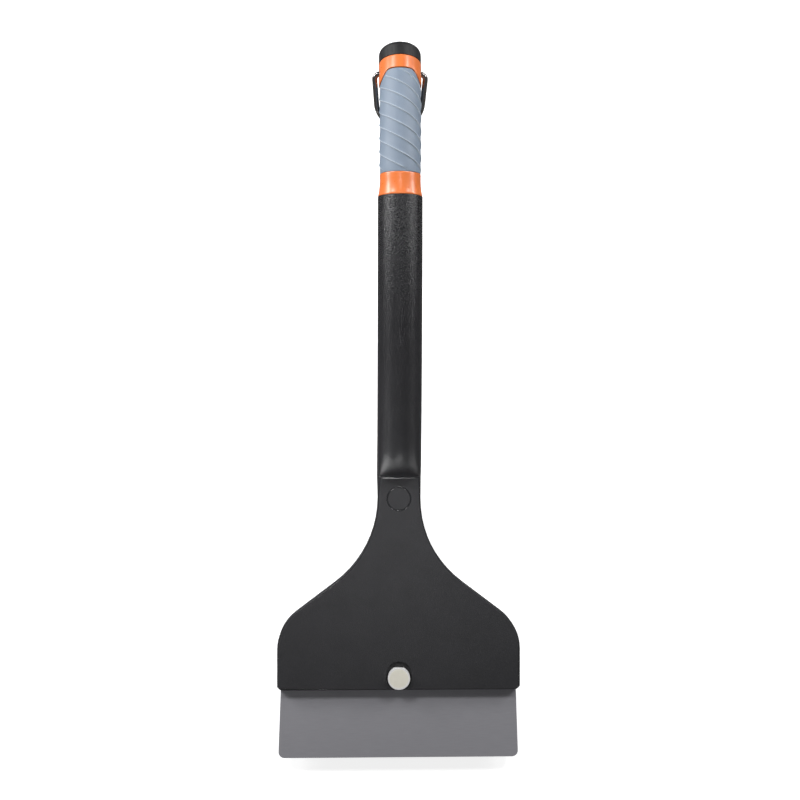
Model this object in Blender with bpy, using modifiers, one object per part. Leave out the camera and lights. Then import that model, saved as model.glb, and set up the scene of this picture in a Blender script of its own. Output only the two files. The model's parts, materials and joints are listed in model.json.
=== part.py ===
"""Long-handled hand scraper: a wide steel blade clamped between two moulded shells that run back as a
round arched handle, with a spiral-ribbed grip, two coloured collars, an end cap and a swinging hanging ring.

The tool lies on its back: X across the blade, Y from the cutting edge to the end cap, Z up through the front.
Everything is laid out straight, by its distance from the cutting edge, and then bent along the handle's
centreline.
"""

import math

import bmesh
import bpy
from mathutils import Matrix, Vector

# Gaps, cuts and smoothness
PART_GAP = 0.0003
OVERRUN = 0.003
WELD = 0.00002
FULL_TURN = 2 * math.pi
# Turns a flat outline drawn in (x, y) so that it stands in (y, z) and its thickness runs along X
ALONG_X = Matrix(((0, 0, 1, 0), (1, 0, 0, 0), (0, 1, 0, 0), (0, 0, 0, 1)))
ROUND_STEPS = 32
HOLE_STEPS = 24
SMALL_STEPS = 12
SMOOTH_ANGLE = math.radians(32)
BEVEL_ANGLE = math.radians(50)

# Head: flat plate with straight sides, convex shoulders, slopes and concave sides running into the neck
HEAD_HALF_WIDTH = 0.1031
HEAD_THICKNESS = 0.0170
HEAD_CORNER_CHAMFER = 0.0025
HEAD_EDGE_BEVEL = 0.0020
HEAD_MOUTH_BEVEL = 0.0008
SHOULDER_RADIUS = 0.0385
SHOULDER_TURN = math.radians(53)
NECK_RADIUS = 0.0900
NECK_HALF_WIDTH = 0.0182
SHOULDER_STEPS = 8
NECK_STEPS = 10
# How the points of the flat plate share its half width, from the middle to the edge
PLATE_WIDTH_SHARES = (0.0, 0.25, 0.5, 0.75, 0.9, 1.0)
ROUND_EDGE_SHARE = 0.3

# Blade: the length in front of the head and the length held in it
BLADE_REACH = 0.0590
BLADE_GRIPPED = 0.0410
BLADE_LENGTH = BLADE_REACH + BLADE_GRIPPED
BLADE_EDGE_INSET = 0.0010
BLADE_TOP_INSET = 0.0041
BLADE_HALF_WIDTH = HEAD_HALF_WIDTH - BLADE_EDGE_INSET
BLADE_TOP_HALF_WIDTH = HEAD_HALF_WIDTH - BLADE_TOP_INSET
BLADE_THICKNESS = 0.0016
BLADE_CORNER_RADIUS = 0.0050
BLADE_TOP_CHAMFER = 0.0060
BLADE_CORNER_STEPS = 6
BEVEL_LENGTH = 0.0060
BEVEL_LAND = 0.0005
PEG_OFFSET = 0.0450
PEG_SETBACK = 0.0140
PEG_DISTANCE = BLADE_LENGTH - PEG_SETBACK
PEG_RADIUS = 0.0030

# Places along the head, as distances from the cutting edge
HEAD_START = BLADE_REACH
SHOULDER_LEAD = 0.0067
SHOULDER_START = BLADE_LENGTH - SHOULDER_LEAD
ARC_NARROWING = (SHOULDER_RADIUS + NECK_RADIUS) * (1 - math.cos(SHOULDER_TURN))
SLOPE_NARROWING = HEAD_HALF_WIDTH - NECK_HALF_WIDTH - ARC_NARROWING
SHOULDER_END = SHOULDER_START + SHOULDER_RADIUS * math.sin(SHOULDER_TURN)
SLOPE_END = SHOULDER_END + SLOPE_NARROWING / math.tan(SHOULDER_TURN)
NECK_START = SLOPE_END + NECK_RADIUS * math.sin(SHOULDER_TURN)

# Handle: round, standing up in front of the neck plate behind a domed toe
HANDLE_RADIUS = 0.0187
HANDLE_LENGTH = 0.2344
NECK_PLATE_LENGTH = 0.0185
TOE_START = NECK_START + NECK_PLATE_LENGTH
TOE_LENGTH = 0.0280
TOE_CORNER_RADIUS = 0.0042
TOE_FILLET = 0.0020
TOE_FILLET_SHARES = (0.0, 0.45, 0.8, 0.95)
TOE_LENGTH_SHARES = (0.0, 0.01, 0.035, 0.08, 0.15, 0.25, 0.38, 0.54, 0.75, 1.0)
BACK_ROUNDING_LENGTH = 0.0600
HANDLE_END = TOE_START + HANDLE_LENGTH
HANDLE_STATION_LENGTH = 0.0220
SPLIT_STATION_LENGTH = 0.0120

# Centreline of the handle: it rises from the neck, levels out at the collar and curls down along the grip
RISE_SETBACK = 0.0032
RISE_START = TOE_START + RISE_SETBACK
RISE_LENGTH = 0.0570
RISE_END = RISE_START + RISE_LENGTH
RISE_ANGLE = math.radians(7)
GRIP_BEND_SETBACK = 0.0312
GRIP_BEND_START = HANDLE_END + GRIP_BEND_SETBACK
GRIP_BEND_LENGTH = 0.0955
GRIP_BEND_ANGLE = math.radians(19.5)
CENTRELINE_STEPS = 90

# Plane where the front and back shells meet, low in the head and level with the axis in the handle
HEAD_SPLIT_HEIGHT = 0.0105
SPLIT_STEP_LEAD = 0.0138
SPLIT_STEP_LENGTH = 0.0360
SPLIT_STEP_START = TOE_START - SPLIT_STEP_LEAD
SPLIT_STEP_END = SPLIT_STEP_START + SPLIT_STEP_LENGTH

# End cap and upper collar share one radius; the grip lies a little inside them
CAP_RADIUS = 0.0178
GRIP_INSET = 0.0009
GRIP_RADIUS = CAP_RADIUS - GRIP_INSET
SLEEVE_WALL = 0.0044

# Steel core tube, its cavity in the shells, and the dowel that holds it
TUBE_RADIUS = GRIP_RADIUS - SLEEVE_WALL
TUBE_WALL = 0.0015
TUBE_INSERT = 0.1742
TUBE_START = HANDLE_END - TUBE_INSERT
SHELL_WALL = 0.0036
CAVITY_RADIUS = HANDLE_RADIUS - SHELL_WALL
RIB_THICKNESS = 0.0100
CAVITY_COUNT = 3
DOWEL_RADIUS = 0.0030
DOWEL_COVER = 0.0031
DOWEL_HALF_LENGTH = HANDLE_RADIUS - DOWEL_COVER
SPIGOT_WALL = 0.0022
SPIGOT_LENGTH = 0.0118
SPIGOT_RADIUS = TUBE_RADIUS + PART_GAP + SPIGOT_WALL
SPIGOT_END = HANDLE_END + SPIGOT_LENGTH

# Clamp bolt, its recess, washer and nut
BOLT_SETBACK = 0.0102
BOLT_DISTANCE = BLADE_REACH + BOLT_SETBACK
BOLT_HEAD_RADIUS = 0.0094
BOLT_FLAT_CUT = 0.0008
BOLT_HEAD_RISE = 0.0030
BOLT_HEAD_ROUNDING = 0.0007
BOLT_ROUNDING_STEPS = 2
BOLT_SHANK_RADIUS = 0.0040
RECESS_CLEARANCE = 0.0014
RECESS_RADIUS = BOLT_HEAD_RADIUS + RECESS_CLEARANCE
RECESS_REACH = 0.0033
RECESS_DEPTH = 0.0028
NUT_POCKET_RADIUS = 0.0089
NUT_POCKET_DEPTH = 0.0056
WASHER_CLEARANCE = 0.0006
WASHER_THICKNESS = 0.0012
NUT_SIDES = 6
NUT_ACROSS_FLATS = 0.0130
NUT_THICKNESS = 0.0034

# Screws that close the shells from the back: beside the blade's top corners, on the slopes and in the neck
SCREW_SIDE_INSET = 0.0246
SCREW_BLADE_CLEARANCE = 0.0100
SLOPE_SCREW_OFFSET = 0.0320
SLOPE_SCREW_SETBACK = 0.0696
NECK_SCREW_SETBACK = 0.0296
HANDLE_SCREW_SETBACK = 0.0180
HANDLE_SCREW_DISTANCE = TUBE_START - HANDLE_SCREW_SETBACK
SCREW_HEAD_RADIUS = 0.0036
SCREW_HEAD_THICKNESS = 0.0022
SCREW_HEAD_SINK = 0.0030
SCREW_SHANK_RADIUS = 0.0018
SCREW_COVER = 0.0035
SCREW_LENGTH = HEAD_THICKNESS - SCREW_COVER - SCREW_HEAD_SINK
HANDLE_SCREW_LENGTH = 0.0240

# Lower collar: (distance from its start, how far it lies inside the handle's radius)
LOWER_COLLAR_PROFILE = (
    (0.0, 0.0004),
    (0.0008, 0.0002),
    (0.0022, 0.0006),
    (0.0050, 0.0011),
    (0.0090, 0.0015),
    (0.0130, 0.0017),
    (0.0175, 0.0016),
    (0.0184, 0.0019),
)
LOWER_COLLAR_START = HANDLE_END + PART_GAP
LOWER_COLLAR_END = LOWER_COLLAR_START + LOWER_COLLAR_PROFILE[-1][0]

# Grip with spiral ribs
GRIP_LENGTH = 0.0836
GRIP_START = LOWER_COLLAR_END + PART_GAP
GRIP_FRONT_END = GRIP_START + GRIP_LENGTH
RIB_HEIGHT = 0.0006
RIB_LEAD = 0.0560
RIB_STARTS = 5
# Rises of one rib across its pitch: (share of the pitch, share of the height)
RIB_SHARES = ((0.0, 0.0), (0.12, 1.0), (0.42, 0.6), (0.76, 0.25))
# Where the first rib starts at the front, as a share of the pitch, and how the ribs run out at both ends
RIB_FIRST_SHARE = -0.72
RIB_RUNOUT = 0.0050
GRIP_ROUND_STEPS = 40

# Upper collar: its lower edge dips at both sides, between two angles from the front or back
WAVE_DEPTH = 0.0086
WAVE_START = math.radians(30)
WAVE_END = math.radians(80)
UPPER_COLLAR_LENGTH = 0.0113
UPPER_COLLAR_END = GRIP_FRONT_END + UPPER_COLLAR_LENGTH
UPPER_COLLAR_LIP = 0.0010
UPPER_COLLAR_LIP_INSET = 0.0005

# End cap and its plug in the tube
TUBE_SETBACK = 0.0021
TUBE_END = UPPER_COLLAR_END - TUBE_SETBACK
CAP_START = UPPER_COLLAR_END + PART_GAP
CAP_LENGTH = 0.0131
CAP_END = CAP_START + CAP_LENGTH
CAP_EDGE_RADIUS = 0.0045
CAP_DOME = 0.0012
CAP_EDGE_STEPS = 5
CAP_PLUG_LENGTH = 0.0184
CAP_PLUG_START = CAP_START - CAP_PLUG_LENGTH
CAP_PLUG_LEAD = 0.0015
CENTRELINE_END = CAP_END + OVERRUN

# Hanging ring and its bushes
RING_SETBACK = 0.0084
RING_DISTANCE = UPPER_COLLAR_END - RING_SETBACK
RING_WIRE_RADIUS = 0.0022
RING_SIDE_CLEARANCE = 0.0013
RING_HALF_WIDTH = CAP_RADIUS + RING_SIDE_CLEARANCE + RING_WIRE_RADIUS
RING_STRAIGHT = 0.0254
RING_TAPER = math.radians(4)
RING_BEND_RADIUS = 0.0042
RING_BEND_STEPS = 5
RING_LOOP_STEPS = 16
RING_WIRE_RESOLUTION = 2
RING_REST_HEIGHT = 0.0001
BUSH_WALL = 0.0011
BUSH_RADIUS = RING_WIRE_RADIUS + PART_GAP + BUSH_WALL
BUSH_INSET = 0.0004
BUSH_TUBE_CLEARANCE = 0.0008
BUSH_INNER = TUBE_RADIUS + BUSH_TUBE_CLEARANCE

# Finishes: colour, roughness, metallic
FINISHES = {
    "moulded_black": ((0.045, 0.045, 0.050), 0.55, 0.0),
    "blade_steel": ((0.42, 0.42, 0.43), 0.38, 1.0),
    "bright_steel": ((0.72, 0.71, 0.68), 0.30, 1.0),
    "dark_steel": ((0.26, 0.26, 0.27), 0.28, 1.0),
    "collar_orange": ((0.90, 0.24, 0.07), 0.42, 0.0),
    "grip_grey": ((0.30, 0.38, 0.46), 0.62, 0.0),
    "cap_black": ((0.05, 0.05, 0.055), 0.60, 0.0),
    "tube_steel": ((0.50, 0.50, 0.52), 0.40, 1.0),
}


def empty_scene():
    for thing in list(bpy.data.objects):
        bpy.data.objects.remove(thing)
    for group in list(bpy.data.collections):
        bpy.data.collections.remove(group)


def new_collection(name):
    group = bpy.data.collections.new(name)
    bpy.context.scene.collection.children.link(group)
    return group


def finish(name):
    colour, roughness, metallic = FINISHES[name]
    material = bpy.data.materials.get(name) or bpy.data.materials.new(name)
    material.use_nodes = True
    shader = material.node_tree.nodes["Principled BSDF"]
    shader.inputs["Base Color"].default_value = (*colour, 1.0)
    shader.inputs["Roughness"].default_value = roughness
    shader.inputs["Metallic"].default_value = metallic
    material.diffuse_color = (*colour, 1.0)
    return material


def faced_outward(mesh):
    shaper = bmesh.new()
    shaper.from_mesh(mesh)
    bmesh.ops.recalc_face_normals(shaper, faces=shaper.faces)
    shaper.to_mesh(mesh)
    shaper.free()
    return mesh


def node(name, mesh, finish_name, place=(0, 0, 0)):
    thing = bpy.data.objects.new(name, mesh)
    thing.location = place
    if not mesh.materials:
        mesh.materials.append(finish(finish_name))
    PARTS.objects.link(thing)
    return thing


def cutter(name, mesh, place=(0, 0, 0)):
    thing = bpy.data.objects.new(name, mesh)
    thing.location = place
    thing.hide_render = True
    thing.display_type = "WIRE"
    CUTTERS.objects.link(thing)
    return thing


def cut(thing, tool, operation="DIFFERENCE"):
    boolean = thing.modifiers.new(tool.name, "BOOLEAN")
    boolean.operation = operation
    boolean.solver = "EXACT"
    boolean.object = tool


def bend(thing):
    bending = thing.modifiers.new("along_centreline", "CURVE")
    bending.object = bpy.data.objects["centreline"]
    bending.deform_axis = "POS_Y"


def smooth(thing):
    """Rounded faces shade smooth, and edges sharper than the limit stay crisp."""
    thing.data.shade_smooth()
    thing.data.set_sharp_from_angle(angle=SMOOTH_ANGLE)


def cylinders(name, radius, low, high, places=((0, 0, 0),), steps=HOLE_STEPS):
    """One mesh of upright cylinders, all of one size, each standing at its own place."""
    shaper = bmesh.new()
    for x, y, z in places:
        bmesh.ops.create_cone(
            shaper,
            cap_ends=True,
            segments=steps,
            radius1=radius,
            radius2=radius,
            depth=high - low,
            matrix=Matrix.Translation((x, y, z + (low + high) / 2)),
        )
    mesh = bpy.data.meshes.new(name)
    shaper.to_mesh(mesh)
    shaper.free()
    return mesh


def slab(name, outline, low, high, across=False):
    """A flat outline given thickness along Z, or along X for an outline of (y, z) points."""
    curve = bpy.data.curves.new(name, "CURVE")
    curve.dimensions = "2D"
    curve.fill_mode = "BOTH"
    curve.extrude = (high - low) / 2
    spline = curve.splines.new("POLY")
    spline.points.add(len(outline) - 1)
    spline.use_cyclic_u = True
    for point, (u, v) in zip(spline.points, outline):
        point.co = (u, v, 0, 1)
    flat = bpy.data.objects.new(name, curve)
    CUTTERS.objects.link(flat)
    if across:
        flat.matrix_world = ALONG_X
    bpy.context.view_layer.update()
    evaluated = flat.evaluated_get(bpy.context.evaluated_depsgraph_get())
    mesh = bpy.data.meshes.new_from_object(evaluated)
    middle = (low + high) / 2
    shift = (middle, 0, 0) if across else (0, 0, middle)
    mesh.transform(Matrix.Translation(shift) @ flat.matrix_world)
    bpy.data.objects.remove(flat)
    shaper = bmesh.new()
    shaper.from_mesh(mesh)
    bmesh.ops.remove_doubles(shaper, verts=shaper.verts, dist=WELD)
    bmesh.ops.recalc_face_normals(shaper, faces=shaper.faces)
    shaper.to_mesh(mesh)
    shaper.free()
    return mesh


def turn_profile(thing, steps=ROUND_STEPS, axis="Y"):
    """Turns the object's profile about one of its own axes."""
    screw = thing.modifiers.new("turned", "SCREW")
    screw.axis = axis
    screw.steps = steps
    screw.render_steps = steps
    screw.use_merge_vertices = True
    screw.merge_threshold = WELD


def profile_mesh(name, profile, closed=False):
    """A profile of (distance, radius) points along Y, drawn at +X from its far end back."""
    points = [(radius, distance, 0) for distance, radius in reversed(profile)]
    edges = [(i, i + 1) for i in range(len(points) - 1)]
    if closed:
        edges.append((len(points) - 1, 0))
    mesh = bpy.data.meshes.new(name)
    mesh.from_pydata(points, edges, [])
    return mesh


def lofted(name, rings, closed=False):
    """A skin over unlike rings of points, with flat ends, or joined back to the first ring when closed."""
    count = len(rings[0])
    points = [point for ring in rings for point in ring]
    faces = []
    for k in range(len(rings) if closed else len(rings) - 1):
        near = k * count
        far = (k + 1) % len(rings) * count
        for i in range(count):
            j = (i + 1) % count
            faces.append((near + i, near + j, far + j, far + i))
    if not closed:
        faces += [list(range(count)), list(range(len(points) - count, len(points)))]
    mesh = bpy.data.meshes.new(name)
    mesh.from_pydata(points, [], faces)
    return faced_outward(mesh)


def centreline_slope(distance):
    """The angle at which the handle's centreline climbs, at a distance from the cutting edge."""
    if distance <= RISE_START:
        return 0.0
    if distance <= RISE_END:
        return RISE_ANGLE * (distance - RISE_START) / (RISE_END - RISE_START)
    if distance <= HANDLE_END:
        return RISE_ANGLE * (HANDLE_END - distance) / (HANDLE_END - RISE_END)
    share = (distance - GRIP_BEND_START) / GRIP_BEND_LENGTH
    return -GRIP_BEND_ANGLE * min(max(share, 0.0), 1.0)


def centreline_point(distance):
    """Where the centreline is after this length of it: the distance along Y and the height over its start."""
    along = 0.0
    height = 0.0
    step = distance / CENTRELINE_STEPS
    for i in range(CENTRELINE_STEPS):
        slope = centreline_slope((i + 0.5) * step)
        along += step * math.cos(slope)
        height += step * math.sin(slope)
    return along, height


def build_centreline():
    curve = bpy.data.curves.new("centreline", "CURVE")
    curve.dimensions = "3D"
    spline = curve.splines.new("POLY")
    spline.points.add(CENTRELINE_STEPS)
    for i, point in enumerate(spline.points):
        along, height = centreline_point(CENTRELINE_END * i / CENTRELINE_STEPS)
        point.co = (0, along, height, 1)
        point.tilt = math.pi / 2
    guide = bpy.data.objects.new("centreline", curve)
    guide.location = (0, 0, HANDLE_RADIUS)
    guide.hide_render = True
    CUTTERS.objects.link(guide)


def head_half_width(distance):
    """Half the width of the head plate: straight sides, a convex shoulder, a slope and a concave neck."""
    if distance < HEAD_START + HEAD_CORNER_CHAMFER:
        return HEAD_HALF_WIDTH - (HEAD_START + HEAD_CORNER_CHAMFER - distance)
    if distance <= SHOULDER_START:
        return HEAD_HALF_WIDTH
    if distance <= SHOULDER_END:
        rise = distance - SHOULDER_START
        return HEAD_HALF_WIDTH - SHOULDER_RADIUS + math.sqrt(SHOULDER_RADIUS**2 - rise**2)
    if distance < SLOPE_END:
        wide = head_half_width(SHOULDER_END)
        return wide - SLOPE_NARROWING * (distance - SHOULDER_END) / (SLOPE_END - SHOULDER_END)
    if distance <= NECK_START:
        drop = NECK_START - distance
        return NECK_HALF_WIDTH + NECK_RADIUS - math.sqrt(NECK_RADIUS**2 - drop**2)
    share = min((distance - NECK_START) / NECK_PLATE_LENGTH, 1.0)
    return NECK_HALF_WIDTH + (HANDLE_RADIUS - NECK_HALF_WIDTH) * share


def body_stations():
    """Distances from the cutting edge at which the body's cross-section is drawn."""
    stations = [HEAD_START, HEAD_START + HEAD_MOUTH_BEVEL, HEAD_START + HEAD_CORNER_CHAMFER]
    for i in range(SHOULDER_STEPS + 1):
        turn = SHOULDER_TURN * i / SHOULDER_STEPS
        stations.append(SHOULDER_START + SHOULDER_RADIUS * math.sin(turn))
    for i in range(NECK_STEPS + 1):
        turn = SHOULDER_TURN * (1 - i / NECK_STEPS)
        stations.append(NECK_START - NECK_RADIUS * math.sin(turn))
    stations += [TOE_START - TOE_FILLET * (1 - share) for share in TOE_FILLET_SHARES]
    stations += [TOE_START + TOE_LENGTH * share for share in TOE_LENGTH_SHARES]
    count = round((HANDLE_END - stations[-1]) / HANDLE_STATION_LENGTH)
    start = stations[-1]
    stations += [start + (HANDLE_END - start) * i / count for i in range(1, count + 1)]
    return stations


def smooth_share(value, start, end):
    share = min(max((value - start) / (end - start), 0.0), 1.0)
    return share * share * (3 - 2 * share)


def plate_section(distance):
    """Half of the flat plate's cross-section, from the middle of the front round to the middle of the back."""
    lift = HEAD_MOUTH_BEVEL if distance == HEAD_START else 0
    width = head_half_width(distance)
    inner = width - HEAD_EDGE_BEVEL
    inset = ROUND_EDGE_SHARE * HEAD_EDGE_BEVEL
    front = HEAD_THICKNESS - lift
    points = [(inner * share, front) for share in PLATE_WIDTH_SHARES]
    points += [(width - inset, front - inset), (width, front - HEAD_EDGE_BEVEL)]
    points += [(width, HEAD_THICKNESS / 2)]
    points += [(width, lift + HEAD_EDGE_BEVEL), (width - inset, lift + inset)]
    points += [(inner * share, lift) for share in reversed(PLATE_WIDTH_SHARES)]
    return points


def round_section(count, radius=HANDLE_RADIUS):
    turns = [math.pi * i / (count - 1) for i in range(count)]
    return [(radius * math.sin(turn), HANDLE_RADIUS + radius * math.cos(turn)) for turn in turns]


def toe_height_share(distance):
    """How much of its full height the toe has reached: a hollow fillet at its foot, then the dome."""
    fillet_share = TOE_FILLET / (2 * HANDLE_RADIUS - HEAD_THICKNESS)
    if distance < TOE_START:
        near = max((distance - TOE_START) / TOE_FILLET + 1, 0.0)
        return fillet_share * (1 - math.sqrt(1 - near**2))
    back = min((distance - TOE_START) / TOE_LENGTH, 1.0)
    return fillet_share + (1 - fillet_share) * math.sqrt(1 - (1 - back) ** 2)


def toe_corner(across, distance):
    """How far a point near the side of the toe stands back, which rounds the toe's two corners."""
    inner = HANDLE_RADIUS - TOE_CORNER_RADIUS
    if across <= inner:
        return 0.0
    reach = min(across - inner, TOE_CORNER_RADIUS)
    fade = smooth_share(distance, TOE_START - TOE_FILLET, TOE_START)
    fade -= smooth_share(distance, TOE_START, TOE_START + TOE_LENGTH)
    return fade * (TOE_CORNER_RADIUS - math.sqrt(TOE_CORNER_RADIUS**2 - reach**2))


def body_section(distance):
    """The whole cross-section: a plate in the head, round in the handle, and the domed toe between them."""
    plate = plate_section(distance)
    circle_points = round_section(len(plate))
    middle = len(plate) // 2
    spread = smooth_share(distance, NECK_START, TOE_START)
    rounding = smooth_share(distance, TOE_START, TOE_START + BACK_ROUNDING_LENGTH)
    rise = toe_height_share(distance)
    half = []
    for i, ((flat_x, flat_z), (round_x, round_z)) in enumerate(zip(plate, circle_points)):
        if i < middle:
            x = flat_x + (round_x - flat_x) * spread
            z = flat_z + (round_z - flat_z) * rise
            half.append((x, distance + toe_corner(x, distance), z))
        else:
            x = flat_x + (round_x - flat_x) * rounding
            z = flat_z + (round_z - flat_z) * rounding
            half.append((x, distance, z))
    mirrored = [(-x, y, z) for x, y, z in reversed(half[1:-1])]
    return half + mirrored


def body_mesh():
    """Both shells as one solid, before they are parted, with the spigot that the lower collar covers."""
    rings = [body_section(distance) for distance in body_stations()]
    count = len(rings[0]) // 2 + 1
    for distance in (HANDLE_END, SPIGOT_END):
        half = [(x, distance, z) for x, z in round_section(count, SPIGOT_RADIUS)]
        rings.append(half + [(-x, y, z) for x, y, z in reversed(half[1:-1])])
    return lofted("body", rings)


def stations_between(low, high, length=HANDLE_STATION_LENGTH):
    count = max(1, round((high - low) / length))
    return [low + (high - low) * i / count for i in range(count + 1)]


def split_line(offset):
    """The line, seen from the side, along which the shells part, in steps short enough to bend."""
    line = [(-OVERRUN, HEAD_SPLIT_HEIGHT + offset), (SPLIT_STEP_START, HEAD_SPLIT_HEIGHT + offset)]
    rise = HANDLE_RADIUS - HEAD_SPLIT_HEIGHT
    for distance in stations_between(SPLIT_STEP_START, SPLIT_STEP_END, SPLIT_STATION_LENGTH)[1:]:
        share = (distance - SPLIT_STEP_START) / SPLIT_STEP_LENGTH
        line.append((distance, HEAD_SPLIT_HEIGHT + offset + rise * share))
    for distance in stations_between(SPLIT_STEP_END, SPIGOT_END + OVERRUN, SPLIT_STATION_LENGTH)[1:]:
        line.append((distance, HANDLE_RADIUS + offset))
    return line


def half_block(name, offset, height):
    line = split_line(offset)
    outline = line + [(line[-1][0], height), (line[0][0], height)]
    side = HEAD_HALF_WIDTH + OVERRUN
    return cutter(name, slab(name, outline, -side, side, across=True))


def cavity_spans():
    """The bays of the cavity, of one length, each between two ribs as thick as the first."""
    bay = (TUBE_INSERT - RIB_THICKNESS) / CAVITY_COUNT
    starts = [TUBE_START + RIB_THICKNESS + bay * i for i in range(CAVITY_COUNT)]
    return [(start, start + bay - RIB_THICKNESS) for start in starts]


def dowel_distance():
    """The dowel stands in the middle of the rib after the first bay."""
    return cavity_spans()[0][1] + RIB_THICKNESS / 2


def shell_cavity():
    """The bore for the core tube and the wider bays between the ribs that hold it."""
    bore = TUBE_RADIUS + PART_GAP
    profile = [(TUBE_START - PART_GAP, 0), (TUBE_START - PART_GAP, bore)]
    for low, high in cavity_spans():
        profile += [(low, bore)]
        profile += [(distance, CAVITY_RADIUS) for distance in stations_between(low, high)]
        profile += [(high, bore)]
    end = SPIGOT_END + OVERRUN
    profile += [(end, bore), (end, 0)]
    cavity = cutter("tube_cavity", profile_mesh("tube_cavity", profile), (0, 0, HANDLE_RADIUS))
    turn_profile(cavity, HOLE_STEPS)
    return cavity


def dowel_hole():
    reach = DOWEL_HALF_LENGTH + PART_GAP
    mesh = cylinders("dowel_hole", DOWEL_RADIUS + PART_GAP, -reach, reach)
    return cutter("dowel_hole", mesh, (0, dowel_distance(), HANDLE_RADIUS))


def arc_points(radius, start, sweep, steps, centre=(0, 0)):
    points = []
    for i in range(steps + 1):
        turn = start + sweep * i / steps
        points.append((centre[0] + radius * math.cos(turn), centre[1] + radius * math.sin(turn)))
    return points


def bolt_recess():
    """The shallow slot around the bolt head in the front shell, longer on the handle side."""
    half = HOLE_STEPS // 2
    outline = arc_points(RECESS_RADIUS, math.pi, math.pi, half)
    outline += arc_points(RECESS_RADIUS, 0, math.pi, half, (0, RECESS_REACH))
    floor = HEAD_THICKNESS - RECESS_DEPTH
    mesh = slab("bolt_recess", outline, floor, HEAD_THICKNESS + OVERRUN)
    return cutter("bolt_recess", mesh, (0, BOLT_DISTANCE, 0))


def bolt_hole():
    top = HEAD_THICKNESS + OVERRUN
    mesh = cylinders("bolt_hole", BOLT_SHANK_RADIUS + PART_GAP, -OVERRUN, top)
    return cutter("bolt_hole", mesh, (0, BOLT_DISTANCE, 0))


def nut_pocket():
    mesh = cylinders("nut_pocket", NUT_POCKET_RADIUS, -OVERRUN, NUT_POCKET_DEPTH, steps=ROUND_STEPS)
    return cutter("nut_pocket", mesh, (0, BOLT_DISTANCE, 0))


def screw_holes(name, places, length):
    """Sunk seats for the screw heads in the back and clearance round the shanks."""
    seat_radius = SCREW_HEAD_RADIUS + PART_GAP
    seats = cylinders(name + "_seats", seat_radius, -OVERRUN, SCREW_HEAD_SINK, places, SMALL_STEPS)
    tip = SCREW_HEAD_SINK + length + PART_GAP
    shank_radius = SCREW_SHANK_RADIUS + PART_GAP
    shanks = cylinders(name + "_shanks", shank_radius, -OVERRUN, tip, places, SMALL_STEPS)
    return cutter(name + "_seats", seats), cutter(name + "_shanks", shanks)


def blade_levels():
    """Heights of the back and front faces of the blade, flush with the back shell's parting face."""
    front = HEAD_SPLIT_HEIGHT - PART_GAP / 2
    return front - BLADE_THICKNESS, front


def blade_outline(extra=0.0):
    """The blade's outline from a top corner down to the cutting edge and back up the other side."""
    radius = BLADE_CORNER_RADIUS
    half = [
        (BLADE_TOP_HALF_WIDTH - BLADE_TOP_CHAMFER, BLADE_LENGTH + extra),
        (BLADE_TOP_HALF_WIDTH + extra, BLADE_LENGTH - BLADE_TOP_CHAMFER),
    ]
    centre = (BLADE_HALF_WIDTH + extra - radius, radius)
    half += arc_points(radius, 0, -math.pi / 2, BLADE_CORNER_STEPS, centre)
    return half + [(-x, y) for x, y in reversed(half)]


def peg_places():
    return [(side * PEG_OFFSET, PEG_DISTANCE, 0) for side in (-1, 1)]


def build_blade():
    low, high = blade_levels()
    blade = node("blade", slab("blade", blade_outline(), low, high), "blade_steel")
    side = BLADE_HALF_WIDTH + OVERRUN
    slope = (BLADE_THICKNESS - BEVEL_LAND) / BEVEL_LENGTH
    wedge = [
        (-OVERRUN, low - OVERRUN),
        (BEVEL_LENGTH, low - OVERRUN),
        (BEVEL_LENGTH, low),
        (-OVERRUN, high - BEVEL_LAND + slope * OVERRUN),
    ]
    cut(blade, cutter("bevel_wedge", slab("bevel_wedge", wedge, -side, side, across=True)))
    cut(blade, bpy.data.objects["bolt_hole"])
    mesh = cylinders("peg_holes", PEG_RADIUS + PART_GAP, -OVERRUN, HEAD_THICKNESS, peg_places())
    cut(blade, cutter("peg_holes", mesh))


def build_front_shell(body):
    shell = node("front_shell", body, "moulded_black")
    cut(shell, half_block("below_front", PART_GAP / 2, -OVERRUN))
    for name in ("tube_cavity", "bolt_recess", "bolt_hole", "dowel_hole", "shell_shanks", "handle_shanks"):
        cut(shell, bpy.data.objects[name])
    bend(shell)


def build_back_shell(body):
    """The back shell, with the blade's pocket and the two pegs that locate the blade."""
    shell = node("back_shell", body, "moulded_black")
    cut(shell, half_block("above_back", -PART_GAP / 2, HEAD_THICKNESS + HANDLE_RADIUS + OVERRUN))
    low, high = blade_levels()
    mesh = slab("blade_pocket", blade_outline(PART_GAP), low - PART_GAP, high + OVERRUN)
    cut(shell, cutter("blade_pocket", mesh))
    mesh = cylinders("pegs", PEG_RADIUS, low - PART_GAP - BLADE_THICKNESS, high, peg_places())
    cut(shell, cutter("pegs", mesh), "UNION")
    for name in ("tube_cavity", "nut_pocket", "bolt_hole", "dowel_hole"):
        cut(shell, bpy.data.objects[name])
    for name in ("shell_seats", "shell_shanks", "handle_seats", "handle_shanks"):
        cut(shell, bpy.data.objects[name])
    bend(shell)


def screw_places():
    """Two screws above the blade's top corners, two on the slopes and one in the neck."""
    side = HEAD_HALF_WIDTH - SCREW_SIDE_INSET
    above_blade = BLADE_LENGTH + SCREW_BLADE_CLEARANCE
    slope = NECK_START - SLOPE_SCREW_SETBACK
    return [
        (-side, above_blade, 0),
        (side, above_blade, 0),
        (-SLOPE_SCREW_OFFSET, slope, 0),
        (SLOPE_SCREW_OFFSET, slope, 0),
        (0, NECK_START - NECK_SCREW_SETBACK, 0),
    ]


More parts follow.
